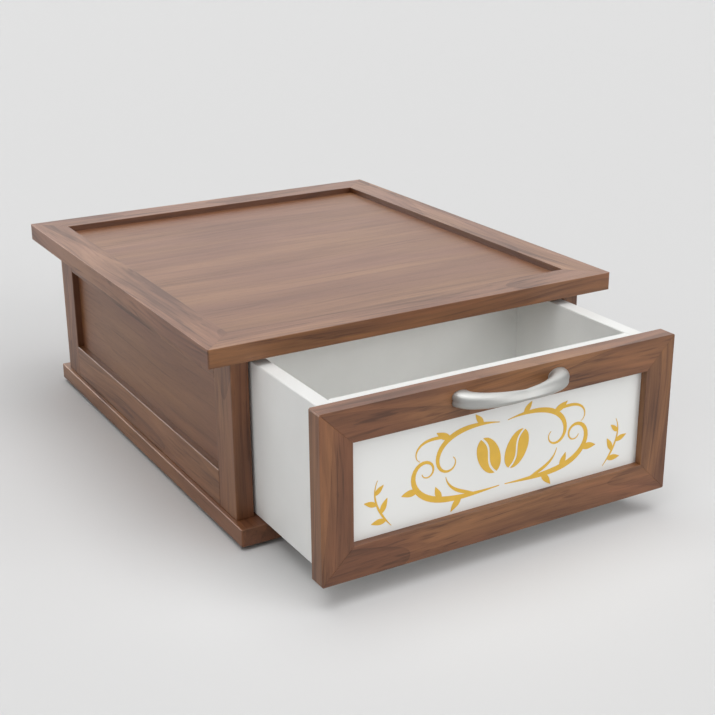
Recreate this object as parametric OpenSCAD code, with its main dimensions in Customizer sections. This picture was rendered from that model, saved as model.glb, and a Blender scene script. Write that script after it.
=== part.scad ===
// Coffee pod drawer: a low walnut case with a tray top, and one white drawer
// behind a framed front with a bow handle. Millimetres, +Z up, the front
// towards -Y. The origin is the middle of the box's underside as it stands,
// with the drawer part open.

/* [Case] */
// Width of the case over its two sides
case_w = 263; // [200:1:400]
// Depth of the case, front edge to back face
case_d = 318; // [240:1:420]
// Height of the sides between base and top
case_h = 108; // [90:1:180]

/* [Top] */
// Thickness of the top frame
top_t = 12; // [10:0.5:20]
// Overhang of the top past each side
top_side_over = 18.5; // [6:0.5:30]
// Overhang of the top past the front edge and the back
top_end_over = 11; // [6:0.5:12]
// Width of the raised rim
rim_w = 23; // [21:0.5:40]
// Depth of the tray inside the rim
tray_depth = 4.5; // [3:0.5:5.5]
// Thickness of the tongue round the tray panel
top_tongue_t = 3.5; // [2:0.5:4]
// Depth of the groove that takes the tongue
top_groove = 4; // [3:0.5:5]

/* [Base] */
// Thickness of the base board
base_t = 12; // [9:0.5:20]
// Ledge of the base past each side
base_side_over = 3; // [1:0.5:7]
// Ledge of the base past the front edge
base_front_over = 13; // [12.5:0.5:25]
// Ledge of the base past the back
base_back_over = 11; // [2:0.5:15]
// Height of the feet
foot_h = 3; // [2:0.5:8]
// Radius of the feet
foot_r = 9; // [6:0.5:12]
// Distance of a foot's middle from the edges of the base
foot_inset = 27; // [26:0.5:50]

/* [Side frames] */
// Thickness of stiles and rails
side_t = 12; // [11:0.5:18]
// Width of the stiles
stile_w = 25; // [20:0.5:40]
// Width of the bottom rails
bottom_rail_w = 25; // [23:0.5:35]
// Width of the top rails
top_rail_w = 21; // [15:0.5:30]
// Depth of the recess outside the panel
side_recess = 5; // [3:0.5:5.5]
// Thickness of the panel
side_panel_t = 5; // [3:0.5:5]
// Depth of the groove that takes the panel
side_groove = 6; // [4:0.5:7]

/* [Back] */
// Thickness of the back panel
back_t = 9; // [8:0.5:14]

/* [Drawer box] */
// Thickness of the box sides and of its back
box_t = 10; // [9:0.5:14]
// Thickness of the board behind the framed front
box_front_t = 13; // [10:0.5:16]
// Thickness of the drawer bottom
bottom_t = 4; // [3:0.5:4.5]
// Height of the drawer bottom over the lower edge of the sides
bottom_up = 4.5; // [3:0.5:4.5]
// Depth of the groove that takes the drawer bottom
bottom_groove = 4; // [3:0.5:5]
// Gap between the box and the case at each side
box_side_gap = 2; // [1:0.1:5]
// Gap between the box and the top
box_top_gap = 4.4; // [1:0.1:6]
// Gap between the box and the base it runs on
box_run_gap = 0.3; // [0.2:0.05:0.6]
// Room behind the closed box
box_rear_gap = 19; // [5:0.5:60]
// Thickness of the divider across the box
divider_t = 10; // [6:0.5:14]
// Distance of the divider from the box's front board
divider_at = 112; // [60:1:150]
// How far the divider stays below the sides' upper edges
divider_drop = 5; // [0:0.5:20]
// Depth of the slots that take the divider
divider_slot = 4; // [2:0.5:5]
// How far the drawer stands open
open_by = 89; // [40:1:120]

/* [Drawer front] */
// Thickness of the frame
front_t = 12; // [11:0.5:12.5]
// Width of the frame members
front_w = 21; // [20:0.5:30]
// How far the front stays inside the case's sides
front_side_inset = 5; // [0:0.5:8]
// Gap over the front
front_top_gap = 1.2; // [0.8:0.1:3]
// Gap between the front and the ledge
front_low_gap = 0.9; // [0.6:0.1:3]
// Gap between the closed front and the case
front_seat_gap = 0.3; // [0.2:0.05:1]
// Depth of the inset panel behind the face
inset_recess = 5; // [2:0.5:5]
// Thickness of the inset panel
inset_t = 4; // [3:0.5:4]
// Depth of the groove that takes the inset panel
inset_groove = 5; // [3:0.5:5]

/* [Handle] */
// Length of the handle over its two ends
handle_len = 80; // [76:1:88]
// Reach of the handle from the face
handle_reach = 19; // [17.5:0.5:26]
// Distance of the handle's middle from the upper edge of the front
handle_drop = 9.7; // [9:0.1:11]
// Height of the bow
bar_h = 9; // [8:0.5:12]
// Thickness of the bow in its middle
bar_t = 6.5; // [4:0.5:8]
// Width of the bow's ends on the wood
handle_end_w = 16; // [14.5:0.5:18]
// Bevel along the bow's edges
bar_bevel = 1.5; // [0.5:0.25:2]

/* [Fixings] */
// Radius of the dowels
dowel_r = 2.5; // [2:0.25:2.5]
// Radius of the wood screws
screw_r = 1.75; // [1.5:0.25:2]
// Radius of the wood screws' heads
screw_head_r = 3.5; // [3:0.25:4]
// Reach of a base screw into the sides
base_screw_in = 15; // [10:0.5:16]
// Reach of a front screw into the frame
front_screw_in = 9; // [6:0.5:10]
// Distance of the front screws from the middle
front_screw_x = 85; // [60:1:90]
// Distance of the front screws from the frame's outer edge
front_screw_edge = 12.5; // [12:0.1:13]
// Radius of the handle screws
bolt_r = 2; // [1.5:0.25:2.5]
// Reach of a handle screw into the bow's end
bolt_in = 4.5; // [4:0.25:5]
// Radius of the handle screws' heads
bolt_head_r = 4; // [3.5:0.25:5]
// Height of the handle screws' heads
bolt_head_h = 2.6; // [2:0.1:3.5]

/* [Hidden] */
$fn = 64;
// Play of a panel at the bottom of its groove, and of a pin in its hole
play = 0.5;
fit = 0.05;
// Depth of a dowel in a side, in the top and in an end
dowel_side_in = 6.5;
dowel_top_in = 7;
dowel_end_in = 14;
// Distance of a dowel from the edge of the board it joins
dowel_edge = 26;
// How far a countersunk head lies below its face, and its drive cross
sunk = 0.3;
cross_l = 3.6;
cross_t = 0.9;
cross_d = 1.4;
// Overrun of a cut past a face
past = 1;

walnut = "#7a5340";
walnut_pale = "#8d6a57";
white_paint = "#e6e6e2";
nickel = "#bdbdb8";
steel = "#9a9a98";
beech = "#cfae84";
rubber = "#2b2b2b";

// The radius of an arc from its rise and the half of its chord
function arc_r(half, rise) = (half * half + rise * rise) / (2 * rise);
bow_r = arc_r(handle_len / 2, handle_reach);
hollow_r = arc_r(handle_len / 2 - handle_end_w, handle_reach - bar_t);
// A screw in the middle of each end
handle_span = handle_len - handle_end_w;

// Heights
base_z = foot_h;
case_z = base_z + base_t;
top_z = case_z + case_h;
tray_z = top_z + top_t - tray_depth;

// Depths: the box round everything is centred on y = 0
out_y = front_seat_gap + open_by + front_t + handle_reach;
back_over = max(top_end_over, base_back_over);
case_y = (out_y - case_d - back_over) / 2;
case_back = case_y + case_d;
top_y = case_y - top_end_over;
base_y = case_y - base_front_over;
seat_y = case_y - front_seat_gap - open_by;
face_y = seat_y - front_t;

// Widths and sizes
top_w = case_w + 2 * top_side_over;
top_d = case_d + 2 * top_end_over;
base_w = case_w + 2 * base_side_over;
base_d = case_d + base_front_over + base_back_over;
inner_w = case_w - 2 * side_t;
box_w = inner_w - 2 * box_side_gap;
box_inner_w = box_w - 2 * box_t;
box_l = case_d + front_seat_gap - back_t - box_rear_gap;
box_z = case_z + box_run_gap;
box_h = case_h - box_run_gap - box_top_gap;
box_end = seat_y + box_l;
bottom_z = box_z + bottom_up;
panel_w = case_w - 2 * front_side_inset;
panel_h = case_h - front_top_gap - front_low_gap;
panel_z = case_z + front_low_gap;
handle_z = panel_z + panel_h - handle_drop;
tongue_z = top_z + (top_t - tray_depth - top_tongue_t) / 2;
// The top's dowels stand midway between the case's face and the tongue
top_dowel_in = (rim_w - top_groove - top_end_over) / 2;

// ---- shared shapes ----

// A block between two corners
module block(low, high) {
    translate(low) cube(high - low);
}

// One member of a mitred frame: its long edge on y = 0, its width along +y
module mitred(length, width, thick) {
    linear_extrude(thick)
        polygon([[-length / 2, 0], [length / 2, 0],
                 [length / 2 - width, width], [width - length / 2, width]]);
}

// A countersunk screw along +z, its head's face at z = 0
module wood_screw(length) {
    difference() {
        union() {
            rotate_extrude()
                polygon([[0, 0], [screw_head_r, 0], [screw_r, screw_head_r - screw_r],
                         [0, screw_head_r - screw_r]]);
            cylinder(r = screw_r, h = length - screw_r);
            translate([0, 0, length - screw_r])
                cylinder(r1 = screw_r, r2 = screw_r / 4, h = screw_r);
        }
        drive_cross();
    }
}

// The hole that such a screw fills, with the fit round it
module screw_hole(length) {
    rotate_extrude()
        polygon([[0, -past], [screw_head_r + fit, -past], [screw_head_r + fit, 0],
                 [screw_r + fit, screw_head_r - screw_r], [screw_r + fit, length + fit],
                 [0, length + fit]]);
}

module drive_cross() {
    for (a = [0, 90])
        rotate(a) translate([-cross_l / 2, -cross_t / 2, -past])
            cube([cross_l, cross_t, cross_d + past]);
}

module dowel(length) {
    cylinder(r = dowel_r, h = length);
}

// ---- top ----

function tray_half_w(over) = top_w / 2 - rim_w + over;
function tray_front(over) = top_y + rim_w - over;
function tray_back(over) = top_y + top_d - rim_w + over;

// The room for the panel's tongue, and the tongue itself
module top_tongue(over) {
    block([-tray_half_w(over), tray_front(over), tongue_z],
          [tray_half_w(over), tray_back(over), tongue_z + top_tongue_t]);
}

module top_panel() {
    color(walnut_pale) union() {
        block([-tray_half_w(0), tray_front(0), top_z], [tray_half_w(0), tray_back(0), tray_z]);
        top_tongue(top_groove - play);
    }
}

// The four dowels between the stiles and the top rim
module at_top_dowels() {
    for (x = [-1, 1] * (case_w - side_t) / 2)
        for (y = [case_y + top_dowel_in, case_back - top_dowel_in])
            translate([x, y, top_z - dowel_end_in]) children();
}

module top_dowel_holes() {
    at_top_dowels() translate([0, 0, -play])
        cylinder(r = dowel_r + fit, h = dowel_end_in + dowel_top_in + 2 * play);
}

module top_rim() {
    color(walnut) difference() {
        children();
        top_tongue(top_groove);
        top_dowel_holes();
    }
}

module top_rim_front() {
    top_rim() translate([0, top_y, top_z]) mitred(top_w, rim_w, top_t);
}

module top_rim_back() {
    top_rim() translate([0, top_y + top_d, top_z]) mirror([0, 1, 0]) mitred(top_w, rim_w, top_t);
}

module top_rim_left() {
    top_rim() translate([-top_w / 2, top_y + top_d / 2, top_z]) rotate(-90)
        mitred(top_d, rim_w, top_t);
}

module top_rim_right() {
    top_rim() translate([top_w / 2, top_y + top_d / 2, top_z]) rotate(90)
        mitred(top_d, rim_w, top_t);
}

module top_dowels() {
    color(beech) at_top_dowels() dowel(dowel_end_in + dowel_top_in);
}

// ---- side frames: drawn for the left side, mirrored for the right ----

side_x = -case_w / 2;
panel_x = side_x + side_recess;
rail_front = case_y + stile_w;
rail_back = case_back - stile_w;
panel_low = case_z + bottom_rail_w;
panel_top = top_z - top_rail_w;

// The room for the panel's edge in stiles and rails, or with play the panel
module side_panel_room(slack) {
    over = side_groove - slack;
    block([panel_x, rail_front - over, panel_low - over],
          [panel_x + side_panel_t, rail_back + over, panel_top + over]);
}

// A stile's groove runs its full height and takes the rails' tongues
module stile_grooves() {
    block([panel_x, rail_front - side_groove, case_z - past],
          [panel_x + side_panel_t, rail_back + side_groove, top_z + past]);
}

module side_stile(low_y) {
    color(walnut) difference() {
        block([side_x, low_y, case_z], [side_x + side_t, low_y + stile_w, top_z]);
        stile_grooves();
        top_dowel_holes();
        back_dowel_holes();
        base_screw_holes();
    }
}

// A rail with its two tongues, between the heights low and high
module side_rail(low, high, tongue_low, tongue_high) {
    over = side_groove - play;
    color(walnut) difference() {
        union() {
            block([side_x, rail_front, low], [side_x + side_t, rail_back, high]);
            block([panel_x, rail_front - over, tongue_low],
                  [panel_x + side_panel_t, rail_back + over, tongue_high]);
        }
        side_panel_room(0);
        base_screw_holes();
    }
}

module side_panel() {
    color(walnut_pale) side_panel_room(play);
}

module side_top_rail() {
    side_rail(panel_top, top_z, panel_top + side_groove, top_z);
}

module side_bottom_rail() {
    side_rail(case_z, panel_low, case_z, panel_low - side_groove);
}

module left_panel() { side_panel(); }
module left_front_stile() { side_stile(case_y); }
module left_rear_stile() { side_stile(rail_back); }
module left_top_rail() { side_top_rail(); }
module left_bottom_rail() { side_bottom_rail(); }
module right_panel() { mirror([1, 0, 0]) side_panel(); }
module right_front_stile() { mirror([1, 0, 0]) side_stile(case_y); }
module right_rear_stile() { mirror([1, 0, 0]) side_stile(rail_back); }
module right_top_rail() { mirror([1, 0, 0]) side_top_rail(); }
module right_bottom_rail() { mirror([1, 0, 0]) side_bottom_rail(); }

// ---- back ----

module at_back_dowels() {
    for (s = [-1, 1])
        for (z = [case_z + dowel_edge, top_z - dowel_edge])
            translate([s * (inner_w / 2 + dowel_side_in), case_back - back_t / 2, z])
                rotate([0, -90 * s, 0]) children();
}

module back_dowel_holes() {
    at_back_dowels() translate([0, 0, -play])
        cylinder(r = dowel_r + fit, h = dowel_side_in + dowel_end_in + 2 * play);
}

module back_panel() {
    color(walnut) difference() {
        block([-inner_w / 2, case_back - back_t, case_z], [inner_w / 2, case_back, top_z]);
        back_dowel_holes();
    }
}

module back_dowels() {
    color(beech) at_back_dowels() dowel(dowel_side_in + dowel_end_in);
}

// ---- base ----

// Two screws into the stiles and two into the bottom rail, at each side
module at_base_screws() {
    third = (rail_back - rail_front) / 3;
    for (x = [-1, 1] * (case_w - side_t) / 2)
        for (y = [case_y + stile_w / 2, rail_front + third, rail_back - third,
                  case_back - stile_w / 2])
            translate([x, y, base_z + sunk]) children();
}

module base_screw_holes() {
    at_base_screws() screw_hole(base_t - sunk + base_screw_in + play);
}

module base_board() {
    color(walnut) difference() {
        block([-base_w / 2, base_y, base_z], [base_w / 2, base_y + base_d, case_z]);
        base_screw_holes();
    }
}

module base_screws() {
    color(steel) at_base_screws() wood_screw(base_t - sunk + base_screw_in);
}

module feet() {
    color(rubber)
        for (x = [-1, 1] * (base_w / 2 - foot_inset))
            for (y = [base_y + foot_inset, base_y + base_d - foot_inset])
                translate([x, y, 0]) cylinder(r = foot_r, h = foot_h);
}

// ---- drawer box ----

// The grooves for the drawer bottom, or with play the bottom
module bottom_room(slack) {
    over = bottom_groove - slack;
    block([-box_inner_w / 2 - over, seat_y + box_front_t - over, bottom_z],
          [box_inner_w / 2 + over, box_end - box_t + over, bottom_z + bottom_t]);
}

// The slots for the divider, open at the top, or with play the divider
module divider_room(slack, high) {
    half_w = box_inner_w / 2 + divider_slot - slack;
    divider_y = seat_y + box_front_t + divider_at;
    block([-half_w, divider_y, bottom_z + bottom_t], [half_w, divider_y + divider_t, high]);
}

// Dowels through the ends of the box's front and back into its sides
module at_drawer_dowels() {
    for (s = [-1, 1])
        for (y = [seat_y + box_front_t / 2, box_end - box_t / 2])
            for (z = [box_z + dowel_edge, box_z + box_h - dowel_edge])
                translate([s * (box_inner_w / 2 + dowel_side_in), y, z])
                    rotate([0, -90 * s, 0]) children();
}

module drawer_dowel_holes() {
    at_drawer_dowels() translate([0, 0, -play])
        cylinder(r = dowel_r + fit, h = dowel_side_in + dowel_end_in + 2 * play);
}

module drawer_board(low, high) {
    color(white_paint) difference() {
        block(low, high);
        bottom_room(0);
        divider_room(0, box_z + box_h + past);
        drawer_dowel_holes();
        front_screw_holes();
        handle_screw_holes();
    }
}

module drawer_left_side() {
    drawer_board([-box_w / 2, seat_y, box_z], [-box_inner_w / 2, box_end, box_z + box_h]);
}

module drawer_right_side() {
    drawer_board([box_inner_w / 2, seat_y, box_z], [box_w / 2, box_end, box_z + box_h]);
}

module drawer_back() {
    drawer_board([-box_inner_w / 2, box_end - box_t, box_z],
                 [box_inner_w / 2, box_end, box_z + box_h]);
}

module drawer_box_front() {
    drawer_board([-box_inner_w / 2, seat_y, box_z],
                 [box_inner_w / 2, seat_y + box_front_t, box_z + box_h]);
}

module drawer_bottom() {
    color(white_paint) bottom_room(play);
}

module drawer_divider() {
    color(white_paint) divider_room(play, box_z + box_h - divider_drop);
}

module drawer_dowels() {
    color(beech) at_drawer_dowels() dowel(dowel_side_in + dowel_end_in);
}

// ---- drawer front ----

// The room for the inset panel in the frame, or with play the panel
module inset_room(slack) {
    over = inset_groove - slack;
    half_w = panel_w / 2 - front_w + over;
    block([-half_w, face_y + inset_recess, panel_z + front_w - over],
          [half_w, face_y + inset_recess + inset_t, panel_z + panel_h - front_w + over]);
}

module front_member() {
    color(walnut) difference() {
        children();
        inset_room(0);
        front_screw_holes();
        handle_screw_holes();
    }
}

// A frame member stands upright, its back face on the drawer box
module upright(x, z, turn) {
    translate([x, seat_y, z]) rotate([90, turn, 0]) children();
}

module front_bottom_rail() {
    front_member() upright(0, panel_z, 0) mitred(panel_w, front_w, front_t);
}

module front_top_rail() {
    front_member() upright(0, panel_z + panel_h, 180) mitred(panel_w, front_w, front_t);
}

module front_left_stile() {
    front_member() upright(-panel_w / 2, panel_z + panel_h / 2, 90)
        mitred(panel_h, front_w, front_t);
}

module front_right_stile() {
    front_member() upright(panel_w / 2, panel_z + panel_h / 2, -90)
        mitred(panel_h, front_w, front_t);
}

module front_inset_panel() {
    color(white_paint) inset_room(play);
}

// Four screws from inside the drawer hold the frame to the box
module at_front_screws() {
    for (x = [-1, 1] * front_screw_x)
        for (z = [panel_z + front_screw_edge, panel_z + panel_h - front_screw_edge])
            translate([x, seat_y + box_front_t - sunk, z]) rotate([90, 0, 0]) children();
}

module front_screw_holes() {
    at_front_screws() screw_hole(box_front_t - sunk + front_screw_in + play);
}

module front_screws() {
    color(steel) at_front_screws() wood_screw(box_front_t - sunk + front_screw_in);
}

// ---- handle ----

// Half the section of a disc with a bevelled rim, which comes to a low ridge
module ridged_rim() {
    shoulder = bow_r - bar_t / 6;
    polygon([[0, -bar_h / 2], [shoulder - bar_bevel, -bar_h / 2],
             [shoulder, bar_bevel - bar_h / 2], [bow_r, 0], [shoulder, bar_h / 2 - bar_bevel],
             [shoulder - bar_bevel, bar_h / 2], [0, bar_h / 2]]);
}

// Half the section of the hollow behind the bow, which widens at both faces
module flared_rim() {
    wide = hollow_r + bar_bevel + past;
    polygon([[0, -bar_h / 2 - past], [wide, -bar_h / 2 - past], [hollow_r, bar_bevel - bar_h / 2],
             [hollow_r, bar_h / 2 - bar_bevel], [wide, bar_h / 2 + past],
             [0, bar_h / 2 + past]]);
}

module at_handle_screws() {
    for (x = [-1, 1] * handle_span / 2)
        translate([x, seat_y + box_front_t, handle_z]) rotate([90, 0, 0]) children();
}

module handle_screw_holes() {
    at_handle_screws() cylinder(r = bolt_r + fit, h = box_front_t + front_t + bolt_in + play);
}

// The bow is a disc less its hollow and less what would lie behind the face
module handle() {
    color(nickel) difference() {
        translate([0, face_y, handle_z]) difference() {
            translate([0, bow_r - handle_reach, 0]) rotate_extrude() ridged_rim();
            translate([0, hollow_r + bar_t - handle_reach, 0]) rotate_extrude() flared_rim();
            translate([-2 * bow_r, 0, -bar_h]) cube([4 * bow_r, 4 * bow_r, 2 * bar_h]);
        }
        handle_screw_holes();
    }
}

module handle_screws() {
    reach = box_front_t + front_t + bolt_in;
    color(steel) at_handle_screws() difference() {
        union() {
            cylinder(r = bolt_r, h = reach);
            translate([0, 0, -bolt_head_h]) cylinder(r = bolt_head_r, h = bolt_head_h);
        }
        translate([0, 0, -bolt_head_h]) drive_cross();
    }
}

top_panel();
top_rim_front();
top_rim_back();
top_rim_left();
top_rim_right();
left_panel();
left_front_stile();
left_rear_stile();
left_top_rail();
left_bottom_rail();
right_panel();
right_front_stile();
right_rear_stile();
right_top_rail();
right_bottom_rail();
back_panel();
base_board();
feet();
top_dowels();
back_dowels();
base_screws();
drawer_left_side();
drawer_right_side();
drawer_back();
drawer_box_front();
drawer_bottom();
drawer_divider();
drawer_dowels();
front_top_rail();
front_bottom_rail();
front_left_stile();
front_right_stile();
front_inset_panel();
front_screws();
handle();
handle_screws();
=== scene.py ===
"""Finishes a coffee pod drawer: walnut boards, a white drawer and a nickel bow handle.

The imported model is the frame. Every board is the frame's own board with its
outer edges rounded and its grain laid along it. The handle, the gold ornament
and the stage are made here.
"""
import math
import random

import bmesh
import bpy
from bpy.props import FloatProperty, FloatVectorProperty, PointerProperty
from mathutils import Euler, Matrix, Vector, geometry


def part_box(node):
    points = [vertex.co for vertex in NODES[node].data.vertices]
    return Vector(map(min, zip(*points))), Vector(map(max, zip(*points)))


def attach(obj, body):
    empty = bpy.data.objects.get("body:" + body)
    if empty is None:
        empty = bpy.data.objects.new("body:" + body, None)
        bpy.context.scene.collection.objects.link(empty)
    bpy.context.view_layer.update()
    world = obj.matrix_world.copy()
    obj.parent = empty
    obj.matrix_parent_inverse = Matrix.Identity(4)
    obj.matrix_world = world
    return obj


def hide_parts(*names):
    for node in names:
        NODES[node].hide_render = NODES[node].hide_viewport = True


bl_info = {
    "name": "Coffee pod drawer",
    "version": (1, 0, 0),
    "blender": (4, 5, 0),
    "location": "3D View > Sidebar > Pod Drawer",
    "description": "Finishes a walnut case with one white drawer for coffee pods",
    "category": "Object",
}

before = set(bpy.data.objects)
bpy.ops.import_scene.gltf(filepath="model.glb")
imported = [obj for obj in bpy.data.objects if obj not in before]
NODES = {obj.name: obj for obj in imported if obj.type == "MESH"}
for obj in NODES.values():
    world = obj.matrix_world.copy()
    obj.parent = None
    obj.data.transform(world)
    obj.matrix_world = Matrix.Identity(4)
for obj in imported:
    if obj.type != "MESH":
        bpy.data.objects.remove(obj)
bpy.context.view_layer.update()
MM = 0.001

# Which way the grain runs in each board, and which way the board's wide face looks
WALNUT = {
    "top_panel": ("case", "x", "z"),
    "top_rim_front": ("case", "x", "z"),
    "top_rim_back": ("case", "x", "z"),
    "top_rim_left": ("case", "y", "z"),
    "top_rim_right": ("case", "y", "z"),
    "left_panel": ("case", "y", "x"),
    "left_front_stile": ("case", "z", "x"),
    "left_rear_stile": ("case", "z", "x"),
    "left_top_rail": ("case", "y", "x"),
    "left_bottom_rail": ("case", "y", "x"),
    "right_panel": ("case", "y", "x"),
    "right_front_stile": ("case", "z", "x"),
    "right_rear_stile": ("case", "z", "x"),
    "right_top_rail": ("case", "y", "x"),
    "right_bottom_rail": ("case", "y", "x"),
    "back_panel": ("case", "x", "y"),
    "base_board": ("case", "y", "z"),
    "front_top_rail": ("drawer", "x", "y"),
    "front_bottom_rail": ("drawer", "x", "y"),
    "front_left_stile": ("drawer", "z", "y"),
    "front_right_stile": ("drawer", "z", "y"),
}
PANELS = ("top_panel", "left_panel", "right_panel")
WHOLE_BOARDS = ("back_panel", "base_board")
# The stack of timber that the boards are cut from: another number gives each board another figure
TIMBER = 14
LACQUERED = (
    "drawer_left_side", "drawer_right_side", "drawer_back",
    "drawer_box_front", "drawer_bottom", "drawer_divider",
)


# ---- sizes and colours that a user may change ----

class WalnutSettings(bpy.types.PropertyGroup):
    gold: FloatVectorProperty(
        name="Golden wood", description="Colour of the golden part of the grain",
        subtype="COLOR", size=3, min=0, max=1, default=(0.290, 0.128, 0.047))
    red: FloatVectorProperty(
        name="Red wood", description="Colour of the reddish part of the grain",
        subtype="COLOR", size=3, min=0, max=1, default=(0.222, 0.084, 0.036))
    dark: FloatVectorProperty(
        name="Dark wood", description="Colour of the dark streaks of the grain",
        subtype="COLOR", size=3, min=0, max=1, default=(0.076, 0.026, 0.010))
    edge: FloatProperty(
        name="Edge rounding", description="Radius of the boards' outer edges",
        unit="LENGTH", default=0.7 * MM, min=0.1 * MM, max=2 * MM)
    corner: FloatProperty(
        name="Corner rounding", description="Radius of the mitred frames' outer corners",
        unit="LENGTH", default=1.4 * MM, min=0.2 * MM, max=4 * MM)
    sheen: FloatProperty(
        name="Roughness", description="Roughness of the oiled surface",
        subtype="FACTOR", default=0.4, min=0.05, max=1)


class PaintSettings(bpy.types.PropertyGroup):
    white: FloatVectorProperty(
        name="White", description="Colour of the lacquer",
        subtype="COLOR", size=3, min=0, max=1, default=(0.925, 0.93, 0.91))
    inset: FloatProperty(
        name="Inset shade", description="Brightness of the white inset, as a share of the white",
        subtype="FACTOR", default=0.82, min=0.5, max=1)
    gold: FloatVectorProperty(
        name="Gold", description="Colour of the ornament",
        subtype="COLOR", size=3, min=0, max=1, default=(0.69, 0.415, 0.045))
    edge: FloatProperty(
        name="Edge rounding", description="Radius of the lacquered boards' edges",
        unit="LENGTH", default=0.9 * MM, min=0.1 * MM, max=2 * MM)


class HandleSettings(bpy.types.PropertyGroup):
    end_height: FloatProperty(
        name="End height", description="Height of the handle where it meets the wood",
        unit="LENGTH", default=10.2 * MM, min=8 * MM, max=14 * MM)
    end_width: FloatProperty(
        name="End width", description="Width of the handle where it meets the wood",
        unit="LENGTH", default=13.8 * MM, min=10 * MM, max=20 * MM)
    end_spread: FloatProperty(
        name="End spread", description="How far the ends reach out past the screws' middles",
        unit="LENGTH", default=2.4 * MM, min=0, max=3 * MM)
    bar_height: FloatProperty(
        name="Bar height", description="Height of the bow in its middle",
        unit="LENGTH", default=6.6 * MM, min=5 * MM, max=9 * MM)
    bar_depth: FloatProperty(
        name="Bar thickness", description="Thickness of the bow in its middle",
        unit="LENGTH", default=6.5 * MM, min=3 * MM, max=8 * MM)


class StageSettings(bpy.types.PropertyGroup):
    backdrop: FloatProperty(
        name="Backdrop", description="Brightness of the backdrop that glossy surfaces mirror",
        default=1.42, min=0, max=3)
    back_left: FloatProperty(
        name="Back left", description="How many times brighter the backdrop is at its left end",
        default=3.5, min=1, max=6)
    top: FloatProperty(
        name="Top light", description="Strength of the wide light from above",
        default=1.91, min=0, max=10)
    front: FloatProperty(
        name="Front light", description="Strength of the wide light from the front right",
        default=1.07, min=0, max=10)
    low: FloatProperty(
        name="Low light", description="Strength of the low light from the front right",
        default=0.92, min=0, max=10)
    left: FloatProperty(
        name="Left light", description="Strength of the wide light from the front left",
        default=0.8, min=0, max=10)
    lens: FloatProperty(
        name="Lens", description="Focal length of the camera",
        unit="CAMERA", default=66.499, min=20, max=200)


SETTINGS = {
    "pod_walnut": WalnutSettings,
    "pod_paint": PaintSettings,
    "pod_handle": HandleSettings,
    "pod_stage": StageSettings,
}


# ---- node helpers ----

def add(tree, kind, inputs=(), **settings):
    """A node with its settings; an input takes a number, a colour or another node's output."""
    made = tree.nodes.new(kind)
    for name, value in settings.items():
        setattr(made, name, value)
    for name, value in dict(inputs).items():
        if isinstance(value, bpy.types.NodeSocket):
            tree.links.new(value, made.inputs[name])
        else:
            made.inputs[name].default_value = value
    return made


def math_node(tree, operation, *values):
    inputs = dict(enumerate(values))
    return add(tree, "ShaderNodeMath", inputs, operation=operation).outputs[0]


def vector_node(tree, operation, *values):
    inputs = dict(enumerate(values))
    return add(tree, "ShaderNodeVectorMath", inputs, operation=operation).outputs[0]


def stretched(tree, vector, scale):
    return add(tree, "ShaderNodeMapping", {"Vector": vector, "Scale": scale}).outputs[0]


def noise(tree, vector, scale=1.0, detail=2.0, roughness=0.5, output="Fac"):
    return add(tree, "ShaderNodeTexNoise", {
        "Vector": vector, "Scale": scale, "Detail": detail,
        "Roughness": roughness}).outputs[output]


def remap(tree, value, low, high, to_low=0.0, to_high=1.0):
    return add(tree, "ShaderNodeMapRange", {
        "Value": value, "From Min": low, "From Max": high,
        "To Min": to_low, "To Max": to_high}).outputs[0]


def blend(tree, factor, first, second):
    made = add(tree, "ShaderNodeMix", data_type="RGBA")
    for index, value in ((0, factor), (6, first), (7, second)):
        if isinstance(value, bpy.types.NodeSocket):
            tree.links.new(value, made.inputs[index])
        else:
            made.inputs[index].default_value = value
    return made.outputs[2]


def new_group(name, inputs, outputs):
    """An empty node group; inputs and outputs are {name: (kind, default)} and {name: kind}."""
    tree = bpy.data.node_groups.new(name, "ShaderNodeTree")
    for socket, (kind, default) in inputs.items():
        made = tree.interface.new_socket(name=socket, in_out="INPUT", socket_type=kind)
        if default is not None:
            made.default_value = default
    for socket, kind in outputs.items():
        tree.interface.new_socket(name=socket, in_out="OUTPUT", socket_type=kind)
    given = tree.nodes.new("NodeGroupInput").outputs
    out = tree.nodes.new("NodeGroupOutput").inputs
    return tree, given, out


def group_node(tree, name, inputs):
    group = bpy.data.node_groups[name]
    return add(tree, "ShaderNodeGroup", inputs, node_tree=group).outputs


def attribute(tree, name, output="Fac"):
    return add(tree, "ShaderNodeAttribute", attribute_name=name).outputs[output]


def new_material(name, roughness, metallic=0.0, **sockets):
    """A material with its Principled shader; sockets are the shader's own values."""
    made = bpy.data.materials.new(name)
    made.use_nodes = True
    shader = made.node_tree.nodes["Principled BSDF"]
    shader.inputs["Roughness"].default_value = roughness
    shader.inputs["Metallic"].default_value = metallic
    for socket, value in sockets.items():
        shader.inputs[socket.replace("_", " ")].default_value = value
    return made, made.node_tree, shader


def colour4(values):
    return (*values, 1.0)


# ---- shared effects ----

# The wood's tone goes from 0, dark, to 1, bright; its marks take the strengths off or add them
MEAN_TONE = 0.60
FINE_STRENGTH = 0.36
PORE_STRENGTH = 0.30


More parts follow.
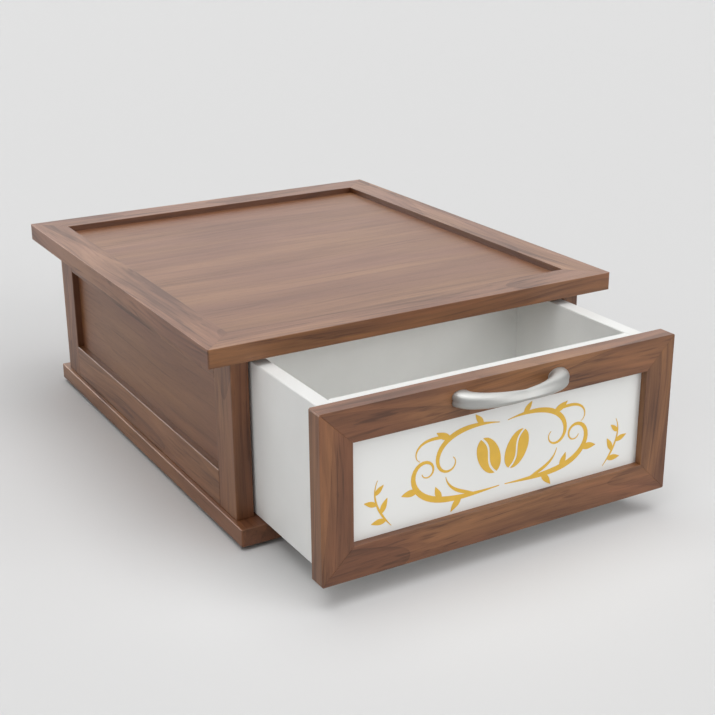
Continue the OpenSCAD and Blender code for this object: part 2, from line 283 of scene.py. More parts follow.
def wood_grain_group():
    """Growth rings, streaks and pores of a board whose grain runs along its own x."""
    tree, given, out = new_group(
        "Wood grain",
        {"Board": ("NodeSocketVector", None),
         "Wander": ("NodeSocketFloat", 0.04),
         "Ring gap": ("NodeSocketFloat", 0.0045),
         "Ring strength": ("NodeSocketFloat", 0.35),
         "Cloud strength": ("NodeSocketFloat", 0.8),
         "Streak strength": ("NodeSocketFloat", 0.5),
         "Line strength": ("NodeSocketFloat", 0.4)},
        {"Tone": "NodeSocketFloat", "Warmth": "NodeSocketFloat", "Height": "NodeSocketFloat"})
    board = given["Board"]

    def fibres(along, across, detail=2.0, roughness=0.5, vector=board):
        """Long marks, so many to the metre along the grain and across it."""
        place = stretched(tree, vector, (along, across, across))
        return noise(tree, place, detail=detail, roughness=roughness)

    def swing(value, amount, base):
        centred = math_node(tree, "SUBTRACT", value, 0.5)
        return math_node(tree, "MULTIPLY_ADD", centred, amount, base)

    def darken(tone, mark, strength):
        return math_node(tree, "SUBTRACT", tone, math_node(tree, "MULTIPLY", mark, strength))

    # The rings wander as they go along the board, which draws long arches on its face
    drift = noise(tree, stretched(tree, board, (4.0, 17.0, 17.0)), detail=1.0, roughness=0.45,
                  output="Color")
    drift = vector_node(tree, "MULTIPLY_ADD", drift, (0.0, 1.0, 1.0), (0.0, -0.5, -0.5))
    drift = add(tree, "ShaderNodeVectorMath", {0: drift, "Scale": given["Wander"]},
                operation="SCALE").outputs[0]
    bent = vector_node(tree, "ADD", board, drift)
    across = vector_node(tree, "MULTIPLY", bent, (0.0, 1.0, 1.0))
    radius = add(tree, "ShaderNodeVectorMath", {0: across}, operation="LENGTH").outputs["Value"]
    part = math_node(tree, "FRACT", math_node(tree, "DIVIDE", radius, given["Ring gap"]))
    # A ring darkens slowly towards its late wood, and the next one starts bright
    late = math_node(tree, "POWER", part, 2.5)
    rise = math_node(tree, "SMOOTH_MIN", math_node(tree, "MULTIPLY", part, 7.0), 1.0, 0.3)
    ring = math_node(tree, "MULTIPLY", late, rise)
    cloud = fibres(7.0, 44.0, 2.5, 0.5, bent)
    streak = fibres(11.0, 230.0, 3.0, 0.55, bent)
    fine = fibres(55.0, 1500.0)
    lines = remap(tree, fibres(6.0, 460.0, 2.0, 0.4, bent), 0.58, 0.70)
    pores = remap(tree, fibres(110.0, 2300.0, 1.0), 0.64, 0.74)
    tone = swing(cloud, given["Cloud strength"], MEAN_TONE)
    tone = swing(streak, given["Streak strength"], tone)
    tone = swing(fine, FINE_STRENGTH, tone)
    tone = darken(tone, ring, given["Ring strength"])
    tone = darken(tone, lines, given["Line strength"])
    tone = darken(tone, pores, PORE_STRENGTH)
    tone = math_node(tree, "MAXIMUM", math_node(tree, "MINIMUM", tone, 1.0), 0.0)
    warmth = remap(tree, fibres(6.0, 30.0, 2.0, 0.5, bent), 0.35, 0.65)
    height = math_node(tree, "SUBTRACT", math_node(tree, "MULTIPLY", fine, 0.3), pores)
    for name, value in (("Tone", tone), ("Warmth", warmth), ("Height", height)):
        tree.links.new(value, out[name])


def fine_texture_group():
    """A soft unevenness at two sizes, for lacquer, metal, rubber and print."""
    tree, given, out = new_group(
        "Fine unevenness",
        {"Vector": ("NodeSocketVector", None),
         "Coarse": ("NodeSocketFloat", 60.0),
         "Fine": ("NodeSocketFloat", 900.0)},
        {"Patches": "NodeSocketFloat", "Grain": "NodeSocketFloat"})
    patches = noise(tree, given["Vector"], given["Coarse"], detail=3.0)
    grain = noise(tree, given["Vector"], given["Fine"], detail=2.0)
    tree.links.new(patches, out["Patches"])
    tree.links.new(grain, out["Grain"])


# ---- materials ----

# The grain of each kind of board, in the wood grain group's own values
GRAINS = {
    "frame": {"Wander": 0.042, "Ring gap": 0.0085, "Ring strength": 0.30,
              "Cloud strength": 1.6, "Streak strength": 1.35, "Line strength": 0.4},
    "panel": {"Wander": 0.018, "Ring gap": 0.012, "Ring strength": 0.10,
              "Cloud strength": 0.75, "Streak strength": 0.40, "Line strength": 0.2},
    "board": {"Wander": 0.03, "Ring gap": 0.009, "Ring strength": 0.22,
              "Cloud strength": 1.3, "Streak strength": 1.0, "Line strength": 0.4},
}
MOST_RUBBED = 0.15  # share of the paler wood where a sanded edge shows it most
PALER = 1.45        # how much paler that wood is than the golden wood
RECESS_SHADE_SHARE = 0.6        # share of the dark wood painted round a frame's opening as shade


def walnut_material(name, settings, values):
    made, tree, shader = new_material(name, settings.sheen)
    board = attribute(tree, "board", "Vector")
    worn = attribute(tree, "worn")
    grain = group_node(tree, "Wood grain", {"Board": board, **values})
    bright = blend(tree, grain["Warmth"], colour4(settings.red), colour4(settings.gold))
    shade = blend(tree, grain["Tone"], colour4(settings.dark), bright)
    # The sanded edges are a little paler, here and there
    rubbed = noise(tree, stretched(tree, board, (60.0, 200.0, 200.0)), detail=2.0)
    rubbed = remap(tree, rubbed, 0.3, 0.7, 0.0, MOST_RUBBED)
    rubbed = math_node(tree, "MULTIPLY", rubbed, worn)
    shade = blend(tree, rubbed, shade, colour4([c * PALER for c in settings.gold]))
    # Painted shade: the faces round a frame's opening are blended towards the dark wood
    recess_darkening = math_node(tree, "MULTIPLY", attribute(tree, "recess"), RECESS_SHADE_SHARE)
    shade = blend(tree, recess_darkening, shade, colour4(settings.dark))
    tree.links.new(shade, shader.inputs["Base Color"])
    # The dark wood is slightly rougher than the bright wood
    rougher = remap(tree, grain["Tone"], 0.0, 1.0, 0.07, -0.04)
    tree.links.new(math_node(tree, "ADD", rougher, settings.sheen), shader.inputs["Roughness"])
    bump = add(tree, "ShaderNodeBump", {
        "Strength": 0.35, "Distance": 0.00008, "Height": grain["Height"]})
    tree.links.new(bump.outputs[0], shader.inputs["Normal"])
    return made


def painted_material(name, colour, roughness, patch=0.035, spread=0.05, bump=0.12,
                     coarse=45.0, top_shade=0.0):
    """A sprayed or printed finish with slight patches and a faint skin, with painted shade on the
    marked upper edges of boards.
    """
    made, tree, shader = new_material(name, roughness)
    place = add(tree, "ShaderNodeTexCoord").outputs["Object"]
    uneven = group_node(tree, "Fine unevenness", {
        "Vector": place, "Coarse": coarse, "Fine": 700.0})
    darker = [c * (1 - patch) for c in colour]
    lighter = [min(1.0, c * (1 + patch)) for c in colour]
    shade = blend(tree, uneven["Patches"], colour4(darker), colour4(lighter))
    # Painted shade: the marked upward faces of the boards' upper edges are darkened
    if top_shade:
        shaded_colour = [c * (1 - top_shade) for c in colour]
        shade = blend(tree, attribute(tree, "sawn"), shade, colour4(shaded_colour))
    tree.links.new(shade, shader.inputs["Base Color"])
    varied = remap(tree, uneven["Patches"], 0.3, 0.7, roughness - spread, roughness + spread)
    tree.links.new(varied, shader.inputs["Roughness"])
    lift = add(tree, "ShaderNodeBump", {
        "Strength": bump, "Distance": 0.00005, "Height": uneven["Grain"]})
    tree.links.new(lift.outputs[0], shader.inputs["Normal"])
    return made


def metal_material(name, colour, roughness, metallic, brush):
    """Brushed or plated metal; brush is the number of strokes to the metre along each axis."""
    made, tree, shader = new_material(name, roughness, metallic)
    place = add(tree, "ShaderNodeTexCoord").outputs["Object"]
    lines = noise(tree, stretched(tree, place, brush), detail=3.0)
    uneven = group_node(tree, "Fine unevenness", {
        "Vector": place, "Coarse": 90.0, "Fine": 1200.0})
    darker = [c * 0.94 for c in colour]
    shade = blend(tree, uneven["Patches"], colour4(darker), colour4(colour))
    tree.links.new(shade, shader.inputs["Base Color"])
    varied = remap(tree, lines, 0.3, 0.7, roughness - 0.03, roughness + 0.03)
    tree.links.new(varied, shader.inputs["Roughness"])
    scratch = add(tree, "ShaderNodeBump", {
        "Strength": 0.06, "Distance": 0.00002, "Height": lines})
    tree.links.new(scratch.outputs[0], shader.inputs["Normal"])
    return made


def materials():
    """All the finishes, made once."""
    if "walnut frame" in bpy.data.materials:
        return
    scene = bpy.context.scene
    walnut, paint = scene.pod_walnut, scene.pod_paint
    wood_grain_group()
    fine_texture_group()
    for kind, values in GRAINS.items():
        walnut_material("walnut " + kind, walnut, values)
    # The white lacquer gets painted shade on the upward faces of its upper edges
    painted_material("white lacquer", paint.white, roughness=0.38, top_shade=0.15)
    inset = [c * paint.inset for c in paint.white]
    painted_material("white inset", inset, roughness=0.3, patch=0.006, spread=0.01, bump=0.04)
    painted_material("gold print", paint.gold, roughness=0.36, patch=0.1, coarse=160.0)
    metal_material("satin nickel", (0.47, 0.47, 0.455), roughness=0.52, metallic=0.75,
                   brush=(90.0, 900.0, 900.0))
    metal_material("zinc plate", (0.62, 0.63, 0.63), roughness=0.34, metallic=1.0,
                   brush=(500.0, 500.0, 500.0))
    painted_material("foot rubber", (0.022, 0.022, 0.024), roughness=0.72, patch=0.3, bump=0.5)
    painted_material("dowel beech", (0.56, 0.36, 0.20), roughness=0.6, patch=0.15)


# ---- boards ----

SAME_PLACE = 1e-6               # points closer than this, in metres, are one
FLAT = math.radians(0.5)        # faces that turn less than this are joined up
SHARP = math.radians(40)        # edges that turn more than this are rounded
LONG_EDGE = 10 * MM             # along a mitred member, longer edges than this are rounded
CORNER_CUTS = (22.5, 45, 67.5)  # degrees; the cuts that round a mitred frame's outer corner
MITRE_LINE = 0.18 * MM          # width of the fine line that a mitre shows
MITRE_AREA = 2e-5               # square metres; a smaller slanting face is no mitre


def on_box_edge(edge, low, high):
    """True where an edge lies on an edge of the board's own box."""
    first, second = (v.co for v in edge.verts)
    shared = 0
    for axis in range(3):
        for limit in (low[axis], high[axis]):
            ends_off = max(abs(first[axis] - limit), abs(second[axis] - limit))
            if ends_off < SAME_PLACE:
                shared += 1
    return shared >= 2


def is_mitred(node):
    return node.startswith("top_rim") or node in (
        "front_top_rail", "front_bottom_rail", "front_left_stile", "front_right_stile")


def frame_box(node):
    """The box of a member's whole frame, whose members' names share their first five letters."""
    boxes = [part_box(n) for n in WALNUT if n[:5] == node[:5]]
    low = Vector([min(box[0][axis] for box in boxes) for axis in range(3)])
    high = Vector([max(box[1][axis] for box in boxes) for axis in range(3)])
    return low, high


def all_of(bm):
    return bm.verts[:] + bm.edges[:] + bm.faces[:]


def cut_off(bm, place, outwards):
    """Takes off what lies outside a plane and closes the cut."""
    cut = bmesh.ops.bisect_plane(bm, geom=all_of(bm), plane_co=place, plane_no=outwards,
                                 clear_outer=True)["geom_cut"]
    edges = [g for g in cut if isinstance(g, bmesh.types.BMEdge) and g.is_boundary]
    if edges:
        bmesh.ops.holes_fill(bm, edges=edges, sides=0)


def round_corners(bm, node, radius):
    """Takes the outer corners of a mitred frame off its members, with a few flat cuts each."""
    low, high = frame_box(node)
    through = 2 if node.startswith("top") else 1
    first, second = (axis for axis in range(3) if axis != through)
    for sign_a in (-1, 1):
        for sign_b in (-1, 1):
            middle = Vector((0, 0, 0))
            for axis, sign in ((first, sign_a), (second, sign_b)):
                middle[axis] = (high[axis] if sign > 0 else low[axis]) - sign * radius
            for degrees in CORNER_CUTS:
                out = Vector((0, 0, 0))
                out[first] = sign_a * math.cos(math.radians(degrees))
                out[second] = sign_b * math.sin(math.radians(degrees))
                cut_off(bm, middle + out * radius, out)


def bevel(bm, edges, width, segments):
    return bmesh.ops.bevel(bm, geom=edges, offset=width, offset_type="OFFSET", affect="EDGES",
                           segments=segments, profile=0.5, material=-1,
                           clamp_overlap=True)["faces"]


def board_mesh(node, radius, along=None):
    """The frame's board, its flat faces joined up and its outer edges rounded."""
    low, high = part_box(node)
    bm = bmesh.new()
    bm.from_mesh(NODES[node].data)
    worn = bm.faces.layers.float.new("worn")
    bmesh.ops.remove_doubles(bm, verts=bm.verts, dist=SAME_PLACE)
    bmesh.ops.dissolve_limit(bm, angle_limit=FLAT, verts=bm.verts, edges=bm.edges)
    if is_mitred(node):
        round_corners(bm, node, bpy.context.scene.pod_walnut.corner)
    edges = [e for e in bm.edges
             if on_box_edge(e, low, high) and len(e.link_faces) == 2
             and e.calc_face_angle_signed(0) > SHARP]
    if is_mitred(node):
        run = "xyz".index(along)
        edges = [e for e in edges if abs(e.verts[0].co[run] - e.verts[1].co[run]) > LONG_EDGE]
    for face in bevel(bm, edges, radius, 3):
        face[worn] = 1.0
    if is_mitred(node):
        # A hair's chamfer round the mitres draws the joint as a fine line
        slanting = [f for f in bm.faces if max(abs(c) for c in f.normal) < 0.8]
        mitres = [f for f in slanting if f.calc_area() > MITRE_AREA]
        bevel(bm, list({e for f in mitres for e in f.edges}), MITRE_LINE, 1)
        bmesh.ops.dissolve_degenerate(bm, dist=SAME_PLACE, edges=bm.edges)
    return bm


def lay_grain(mesh, node, along, face):
    """Stores each point's place in the board: along the grain, across it, and through it."""
    low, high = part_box(node)
    axes = ["xyz".index(along)]
    axes.append(3 - axes[0] - "xyz".index(face))
    axes.append("xyz".index(face))
    rng = random.Random(f"{node} {TIMBER}")
    centre = (low + high) / 2
    # In metres: where the board lies along the tree, how far beside its heart, and how far out
    start = rng.uniform(0, 3)
    heart = rng.uniform(-0.35, 0.35) * (high - low)[axes[1]]
    depth = rng.uniform(0.035, 0.07)
    store = mesh.attributes.new("board", "FLOAT_VECTOR", "POINT")
    for index, vert in enumerate(mesh.vertices):
        place = vert.co - centre
        store.data[index].vector = (
            place[axes[0]] + start, place[axes[1]] + heart, place[axes[2]] + depth)


def mark_painted_recess_shade(bm, node, through):
    """Marks the faces round a frame's opening, which get painted shade: the wood there is
    darkened.
    """
    low, high = frame_box(node)
    middle = (low + high) / 2
    recess = bm.faces.layers.float.new("recess")
    bm.normal_update()
    for face in bm.faces:
        inwards = middle - face.calc_center_median()
        inwards["xyz".index(through)] = 0
        if face.normal.dot(inwards.normalized()) > 0.6:
            face[recess] = 1.0


def mark_painted_top_shade(bm, top):
    """Marks the upward faces of a board's upper edge, which get painted shade that tones down the
    light they catch from above.
    """
    sawn = bm.faces.layers.float.new("sawn")
    lowest = top - 1.0 * MM
    for face in bm.faces:
        if face.normal.z > 0.5 and face.calc_center_median().z > lowest:
            face[sawn] = 1.0


def finish_piece(name, bm, material, body, slot, *nodes, smooth=False):
    """Makes the piece from its bmesh and hangs it on its body in place of its nodes."""
    mesh = bpy.data.meshes.new(name)
    bm.normal_update()
    bm.to_mesh(mesh)
    bm.free()
    for polygon in mesh.polygons:
        polygon.use_smooth = smooth
    mesh.materials.append(bpy.data.materials[material])
    piece = bpy.data.objects.new(name, mesh)
    bpy.context.scene.collection.objects.link(piece)
    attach(piece, body)
    if nodes:
        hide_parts(*nodes)
    return piece


def walnut_board(node):
    body, along, face = WALNUT[node]
    radius = bpy.context.scene.pod_walnut.edge
    kind = "panel" if node in PANELS else "board" if node in WHOLE_BOARDS else "frame"
    bm = board_mesh(node, radius, along)
    # The frames of the top and the sides get painted shade round their openings
    if node.startswith(("top_rim", "left_", "right_")) and kind == "frame":
        mark_painted_recess_shade(bm, node, face)
    piece = finish_piece(node + "_wood", bm, "walnut " + kind, body, "walnut_" + kind, node)
    lay_grain(piece.data, node, along, face)


def walnut_boards(*starts):
    materials()
    made = [n for n in WALNUT if n.startswith(starts)]
    if not made:
        raise RuntimeError("no board begins with " + ", ".join(starts))
    for node in made:
        walnut_board(node)


def dress_node(node, material):
    """Gives a node of the frame its finish and leaves its shape alone."""
    mesh = NODES[node].data
    mesh.materials.clear()
    mesh.materials.append(bpy.data.materials[material])


# ---- ornament ----

# Lengths in the ornament are in millimetres, from the middle of the panel
# Strokes of the right half: start, heading, length, bend per mm at the start and at the end,
# how late it tightens, least and greatest width, and where along it the greatest width is
VINES = (
    ((2.0, -21.5), -3, 104, 0.12, 17, 3.1, 0.6, 3.9, 0.45),
    ((20, -21.6), 16, 27, 0.2, 5.5, 1.4, 0.5, 2.3, 0.35),
    ((3.0, 20.0), 12, 76, -0.7, -15, 2.8, 0.5, 3.4, 0.42),
    ((33, 18.5), 2, 38, 0.6, -15, 2.2, 0.4, 2.0, 0.35),
    ((78, -28), 48, 34, 0.8, 4.2, 1.6, 0.4, 1.4, 0.35),
)
# Leaves: the vine that carries it, how far along, turn from the vine, length, width, bend per mm
LEAVES = (
    (0, 0.26, -42, 11, 4.0, -1.5), (0, 0.58, -46, 11, 4.2, -1.5), (0, 0.40, 46, 10, 3.8, 1.5),
    (2, 0.16, 40, 9, 3.4, 1.5), (2, 0.47, 48, 11, 4.0, 1.5),
    (4, 0.16, -48, 10, 3.6, -1), (4, 0.34, 50, 10, 3.4, 1), (4, 0.52, -46, 9, 3.2, -1),
    (4, 0.72, 46, 8, 2.8, 1),
)
PRINT = 0.10        # thickness of the first band
PRINT_STEP = 0.006  # how much thicker each next band is


def pen_path(start, heading, length, bend, curl, power, steps=40):
    """Places, headings and shares of length along a stroke that curls up towards its end."""
    place, turn, last = Vector(start), math.radians(heading), 0.0
    path = [(place, turn, 0.0)]
    for index in range(1, steps + 1):
        share = 1 - (1 - index / steps) ** 1.6
        step = (share - last) * length
        half_turn = math.radians(bend + (curl - bend) * ((share + last) / 2) ** power) * step / 2
        turn += half_turn
        place = place + Vector((math.cos(turn), math.sin(turn))) * step
        turn += half_turn
        path.append((place, turn, share))
        last = share
    return path


def pen_band(path, width):
    """The two sides of a stroke whose width is a function of the share of its length."""
    sides = [], []
    for place, turn, share in path:
        out = Vector((-math.sin(turn), math.cos(turn))) * width(share) / 2
        sides[0].append(place + out)
        sides[1].append(place - out)
    return sides


def vine_band(path, thin, thick, fattest):
    def width(share):
        rise = share / fattest if share < fattest else (1 - share) / (1 - fattest)
        return thin + (thick - thin) * math.sin(rise * math.pi / 2) ** 1.3
    return pen_band(path, width)


def leaf_band(path, share, turn, length, width, bend):
    place, heading, _ = min(path, key=lambda point: abs(point[2] - share))
    stem = pen_path(place, math.degrees(heading) + turn, length, bend, bend, power=1.0, steps=14)
    return pen_band(stem, lambda s: width * math.sin(math.pi * s ** 0.8) + 0.3)


def bean_bands(centre, half_width, half_height, turn, gap, steps=18):
    """The two halves of a coffee bean on both sides of its curved cleft."""
    lean = Euler((0, 0, math.radians(turn))).to_matrix().to_2x2()
    for side in (-1, 1):
        outer, inner = [], []
        for index in range(steps + 1):
            angle = math.pi / 2 - math.pi * index / steps
            up = half_height * math.sin(angle)
            cleft = -0.22 * half_width * math.sin(math.pi * math.sin(angle)) + side * gap / 2
            edge = side * max(half_width * math.cos(angle), side * cleft + 0.12)
            outer.append(Vector(centre) + lean @ Vector((edge, up)))
            inner.append(Vector(centre) + lean @ Vector((cleft, up)))
        yield outer, inner


def lay_band(bm, sides, centre, lift):
    """Draws a band on the panel, a pair of points at a time, and gives it its thickness."""
    faces, pair, edge = [], [], None
    for points in zip(*sides):
        if edge is None:
            pair = [bm.verts.new(), bm.verts.new()]
            edge = bm.edges.new(pair)
        else:
            made = bmesh.ops.extrude_edge_only(bm, edges=[edge])["geom"]
            new = [g for g in made if isinstance(g, bmesh.types.BMVert)]
            faces += [g for g in made if isinstance(g, bmesh.types.BMFace)]
            ahead_of = {e.other_vert(v): v for v in new for e in v.link_edges
                        if e.other_vert(v) in pair}
            pair = [ahead_of[v] for v in pair]
            edge = bm.edges.get(pair)
        for vert, point in zip(pair, points):
            vert.co = (point.x * MM, centre.y, centre.z + point.y * MM)
    raised = bmesh.ops.extrude_face_region(bm, geom=faces)["geom"]
    bmesh.ops.translate(bm, verts=[g for g in raised if isinstance(g, bmesh.types.BMVert)],
                        vec=(0, -lift, 0))


def ornament():
    """Two coffee beans in a pair of curling vines, with a sprig near each lower corner."""
    low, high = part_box("front_inset_panel")
    centre = Vector((0, low.y, (low.z + high.z) / 2))
    paths = [pen_path(*vine[:6]) for vine in VINES]
    bands = [vine_band(path, *vine[6:]) for path, vine in zip(paths, VINES)]
    bands += [leaf_band(paths[leaf[0]], *leaf[1:]) for leaf in LEAVES]
    bands += bean_bands(centre=(10.2, 0.0), half_width=7.8, half_height=12.8, turn=-24, gap=1.5)
    bm = bmesh.new()
    for index, sides in enumerate(bands):
        # Each band is a hair thicker than the last, so that no two faces share a plane
        lay_band(bm, sides, centre, (PRINT + PRINT_STEP * index) * MM)
    bmesh.ops.mirror(bm, geom=all_of(bm), merge_dist=-1.0, axis="X")
    bmesh.ops.recalc_face_normals(bm, faces=bm.faces)
    return finish_piece("gold_ornament", bm, "gold print", "drawer", "white_inset")


# ---- handle ----

# Points of the bow's front, out and up, on a section one unit wide and high: a ridge between
# two facets in the middle of the bow, and a groove between two lobes at its ends
BOW_FRONT = {
    13: ((0.12, -0.48), (0.20, -0.49)), 14: ((0.25, -0.39), (0.40, -0.42)),
    15: ((0.37, -0.27), (0.48, -0.22)), 0: ((0.5, -0.13), (0.41, -0.05)),
    1: ((0.415, 0.08), (0.49, 0.15)), 2: ((0.325, 0.30), (0.42, 0.38)),
    3: ((0.17, 0.455), (0.21, 0.48)),
}
SECTION_POINTS = 16
HALF_STEPS = 15         # points of the bow's curve from an end to its middle
RIDGE = 0.9             # how sharp the ridge stays when the bow is smoothed
ABOVE_BOLTS = 0.3 * MM  # how far the bow's middle line lies above the screws'
TALL_POWER = 0.65       # the smaller, the sooner the bow grows taller from its middle on
DEEP_POWER = 0.85       # the smaller, the sooner it grows thicker


def bow_section(share):
    """The bow's section at a share of the way from its middle to an end; it is round behind."""
    shape = []
    for index in range(SECTION_POINTS):
        if index in BOW_FRONT:
            middle, end = (Vector(point) for point in BOW_FRONT[index])
            shape.append(middle.lerp(end, share))
        else:
            turn = index * math.tau / SECTION_POINTS
            shape.append(Vector((math.cos(turn), math.sin(turn))) / 2)
    return shape


def bow_path(settings):
    """The middle line of the bow from its right end to its left one, out from the wood."""
    low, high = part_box("handle")
    bolt_low, bolt_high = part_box("handle_screws")
    bolts_apart = bolt_high.x - bolt_low.x - (bolt_high.z - bolt_low.z)
    end_x = bolts_apart / 2 + settings.end_spread
    # The bow is thickest in front a little to both sides of its middle, and stays in its box there
    swell = (settings.end_width - settings.bar_depth) * 0.033
    reach = high.y - low.y - settings.bar_depth / 2 - swell
    # The curve leaves the wood straight on and runs level over its middle
    leaving = Vector((end_x, reach * 0.54, 0))
    level = Vector((end_x * 0.51, reach, 0))
    half = geometry.interpolate_bezier(
        Vector((end_x, 0, 0)), leaving, level, Vector((0, reach, 0)), HALF_STEPS)
    return half + [Vector((-p.x, p.y, 0)) for p in reversed(half[:-1])]


def handle_bow(settings):
    """Carries one section along the bow: wide ends on the wood, a slim middle."""
    wood_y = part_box("handle")[1].y
    bolt_low, bolt_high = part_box("handle_screws")
    middle_z = (bolt_low.z + bolt_high.z) / 2 + ABOVE_BOLTS
    path = bow_path(settings)
    bm = bmesh.new()
    crease = bm.edges.layers.float.new("crease_edge")
    ring = bmesh.ops.create_circle(bm, segments=SECTION_POINTS, radius=0.5)["verts"]
    edges = list({e for v in ring for e in v.link_edges})
    middle = (len(path) - 1) // 2
    for index, point in enumerate(path):
        if index:
            made = bmesh.ops.extrude_edge_only(bm, edges=edges)["geom"]
            new = [g for g in made if isinstance(g, bmesh.types.BMVert)]
            edges = [g for g in made if isinstance(g, bmesh.types.BMEdge)
                     and all(v in new for v in g.verts)]
            ahead_of = {e.other_vert(v): v for v in new for e in v.link_edges
                        if e.other_vert(v) in ring}
            behind, ring = ring, [ahead_of[v] for v in ring]
            bm.edges.get((behind[0], ring[0]))[crease] = RIDGE
        ahead = path[min(index + 1, 2 * middle)] - path[max(index - 1, 0)]
        if index in (0, 2 * middle):
            ahead = Vector((0, 1 if index == 0 else -1, 0))
        ahead.normalize()
        share = abs(index - middle) / middle
        taller = (settings.end_height - settings.bar_height) * share ** TALL_POWER
        deeper = (settings.end_width - settings.bar_depth) * share ** DEEP_POWER
        tall = settings.bar_height + taller
        deep = settings.bar_depth + deeper
        for vert, (across, up) in zip(ring, bow_section(share)):
            place = point + Vector((ahead.y, -ahead.x, 0)) * across * deep
            vert.co = (place.x, min(wood_y - place.y, wood_y), middle_z + up * tall)
    open_edges = [e for e in bm.edges if e.is_boundary]
    caps = bmesh.ops.holes_fill(bm, edges=open_edges, sides=0)["faces"]
    for cap in caps:
        for edge in cap.edges:
            edge[crease] = 1.0
    bmesh.ops.recalc_face_normals(bm, faces=bm.faces)
    return bm


# ---- stage ----

FLOOR_SIZE = 14.0  # metres from the middle to each side
FLOOR_GREY = 0.69
SEEN_BACKDROP = 0.8  # brightness of the backdrop that the camera sees itself
CAMERA_PLACE = (-0.433547, -0.779567, 0.395446)
CAMERA_TURN = (69.6783, 0.43957, -30.15377)  # degrees round x, y and z
# Each lamp's setting, how many degrees wide it looks, and the direction that it comes from
LAMPS = (
    ("top", 60, (0, 0, 1)),
    ("front", 55, (0.383, -0.663, 0.643)),
    ("low", 35, (0.489, -0.847, 0.208)),
    ("left", 55, (-0.663, -0.383, 0.643)),
)


def lay_floor(scene):
    bm = bmesh.new()
    bmesh.ops.create_grid(bm, x_segments=1, y_segments=1, size=FLOOR_SIZE)
    mesh = bpy.data.meshes.new("floor")
    bm.to_mesh(mesh)
    bm.free()
    floor = bpy.data.objects.new("floor", mesh)
    scene.collection.objects.link(floor)
    made, _, shader = new_material("pale floor", 0.9, Specular_IOR_Level=0.2)
    shader.inputs["Base Color"].default_value = colour4([FLOOR_GREY] * 3)
    mesh.materials.append(made)


def hang_backdrop(scene, settings):
    """A plain backdrop for the camera, and a bright one behind the object for glossy surfaces."""
    world = bpy.data.worlds.new("studio")
    scene.world = world
    world.use_nodes = True
    tree = world.node_tree
    tree.nodes.clear()
    path = add(tree, "ShaderNodeLightPath").outputs
    direction = add(tree, "ShaderNodeTexCoord").outputs["Generated"]
    parts = add(tree, "ShaderNodeSeparateXYZ", {0: direction}).outputs
    behind = remap(tree, parts["Y"], 0.15, 0.45, 0.0, settings.backdrop)
    aside = remap(tree, parts["X"], 0.0, -0.25, 1.0, settings.back_left)
    mirrored = math_node(tree, "MULTIPLY", behind, aside)
    sent_back = math_node(tree, "MAXIMUM", path["Is Glossy Ray"], path["Is Transmission Ray"])
    strength = math_node(tree, "MULTIPLY", sent_back, mirrored)
    strength = add(tree, "ShaderNodeMix", {
        0: path["Is Camera Ray"], 2: strength, 3: SEEN_BACKDROP}).outputs[0]
    shown = add(tree, "ShaderNodeBackground", {
        "Color": (1.0, 1.0, 1.0, 1.0), "Strength": strength}).outputs[0]
    out = add(tree, "ShaderNodeOutputWorld")
    tree.links.new(shown, out.inputs["Surface"])


def hang_lamp(scene, name, strength, width, towards):
    """A distant light that comes from a direction and looks as wide as an angle in degrees."""
    data = bpy.data.lights.new(name, "SUN")
    data.energy = strength
    data.angle = math.radians(width)
    lamp = bpy.data.objects.new(name, data)
    lamp.rotation_euler = Vector(towards).to_track_quat("Z", "Y").to_euler()
    scene.collection.objects.link(lamp)


def place_camera(scene, lens):
    data = bpy.data.cameras.new("camera")
    data.lens = lens
    data.sensor_width = 36
    camera = bpy.data.objects.new("camera", data)
    camera.location = CAMERA_PLACE
    camera.rotation_euler = Euler([math.radians(a) for a in CAMERA_TURN])
    scene.collection.objects.link(camera)
    scene.camera = camera


# ---- operators ----

class PODDRAWER_OT_top(bpy.types.Operator):
    """Finish the tray panel and its mitred rim"""
    bl_idname = "pod_drawer.top"
    bl_label = "Top"

    def execute(self, context):
        walnut_boards("top_")
        return {"FINISHED"}


class PODDRAWER_OT_sides(bpy.types.Operator):
    """Finish the frames and panels of the two sides"""
    bl_idname = "pod_drawer.sides"
    bl_label = "Side frames"

    def execute(self, context):
        walnut_boards("left_", "right_")
        return {"FINISHED"}


class PODDRAWER_OT_back_and_base(bpy.types.Operator):
    """Finish the back panel and the base board"""
    bl_idname = "pod_drawer.back_and_base"
    bl_label = "Back and base"

    def execute(self, context):
        walnut_boards("back_", "base_")
        return {"FINISHED"}


class PODDRAWER_OT_drawer_box(bpy.types.Operator):
    """Finish the white boards of the drawer box"""
    bl_idname = "pod_drawer.drawer_box"
    bl_label = "Drawer box"

    def execute(self, context):
        materials()
        for node in LACQUERED:
            bm = board_mesh(node, context.scene.pod_paint.edge)
            if node != "drawer_bottom":
                # Painted shade on the upward faces of the board's upper edge
                mark_painted_top_shade(bm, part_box(node)[1].z)
            finish_piece(node + "_lacquered", bm, "white lacquer", "drawer",
                         "white_lacquer", node)
        return {"FINISHED"}


class PODDRAWER_OT_front(bpy.types.Operator):
    """Finish the framed front and its white inset, and lay the gold ornament on it"""
    bl_idname = "pod_drawer.front"
    bl_label = "Drawer front"

    def execute(self, context):
        walnut_boards("front_")
        dress_node("front_inset_panel", "white inset")
        ornament()
        return {"FINISHED"}


class PODDRAWER_OT_handle(bpy.types.Operator):
    """Make the bow handle with its ridge"""
    bl_idname = "pod_drawer.handle"
    bl_label = "Handle"

    def execute(self, context):
        materials()
        bm = handle_bow(context.scene.pod_handle)
        piece = finish_piece("handle_bow", bm, "satin nickel", "drawer", "satin_nickel",
                             "handle", smooth=True)
        smooth = piece.modifiers.new("smooth", "SUBSURF")
        smooth.levels = smooth.render_levels = 2
        return {"FINISHED"}


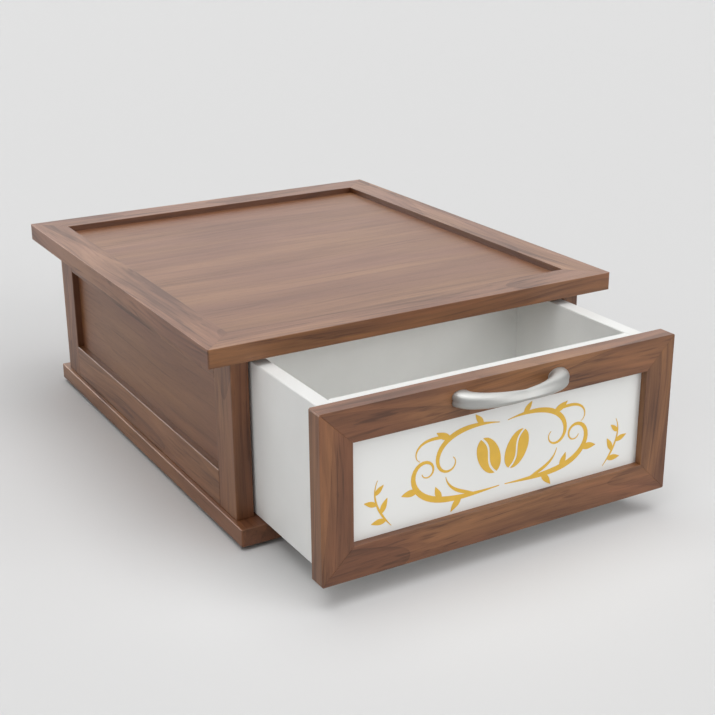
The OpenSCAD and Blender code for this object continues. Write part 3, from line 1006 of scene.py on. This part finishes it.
class PODDRAWER_OT_fixings(bpy.types.Operator):
    """Finish the screws, dowels and feet"""
    bl_idname = "pod_drawer.fixings"
    bl_label = "Fixings and feet"

    def execute(self, context):
        materials()
        for node in NODES:
            if node.endswith("_screws"):
                dress_node(node, "zinc plate")
            elif node.endswith("_dowels"):
                dress_node(node, "dowel beech")
        dress_node("feet", "foot rubber")
        return {"FINISHED"}


class PODDRAWER_OT_stage(bpy.types.Operator):
    """Set up the floor, the backdrop, the lamps and the camera"""
    bl_idname = "pod_drawer.stage"
    bl_label = "Stage"

    def execute(self, context):
        scene = context.scene
        settings = scene.pod_stage
        lay_floor(scene)
        hang_backdrop(scene, settings)
        for name, width, towards in LAMPS:
            hang_lamp(scene, name + " light", getattr(settings, name), width, towards)
        place_camera(scene, settings.lens)
        scene.view_settings.view_transform = "Standard"
        return {"FINISHED"}


class PODDRAWER_PT_panel(bpy.types.Panel):
    """The pieces of the drawer in the sidebar"""
    bl_idname = "PODDRAWER_PT_panel"
    bl_label = "Coffee pod drawer"
    bl_space_type = "VIEW_3D"
    bl_region_type = "UI"
    bl_category = "Pod Drawer"

    def draw(self, context):
        for name in SETTINGS:
            group = getattr(context.scene, name)
            box = self.layout.box()
            for field in group.__annotations__:
                box.prop(group, field)
        for step in STEPS:
            self.layout.operator(step.bl_idname)


STEPS = (
    PODDRAWER_OT_stage,
    PODDRAWER_OT_top,
    PODDRAWER_OT_sides,
    PODDRAWER_OT_back_and_base,
    PODDRAWER_OT_drawer_box,
    PODDRAWER_OT_front,
    PODDRAWER_OT_handle,
    PODDRAWER_OT_fixings,
)


def register():
    for group in SETTINGS.values():
        bpy.utils.register_class(group)
    for name, group in SETTINGS.items():
        setattr(bpy.types.Scene, name, PointerProperty(type=group))
    for step in STEPS:
        bpy.utils.register_class(step)
    bpy.utils.register_class(PODDRAWER_PT_panel)


def unregister():
    bpy.utils.unregister_class(PODDRAWER_PT_panel)
    for step in reversed(STEPS):
        bpy.utils.unregister_class(step)
    for name in SETTINGS:
        delattr(bpy.types.Scene, name)
    for group in reversed(list(SETTINGS.values())):
        bpy.utils.unregister_class(group)


def main():
    register()
    for step in STEPS:
        group, name = step.bl_idname.split(".")
        getattr(getattr(bpy.ops, group), name)()


if __name__ == "__main__":
    main()
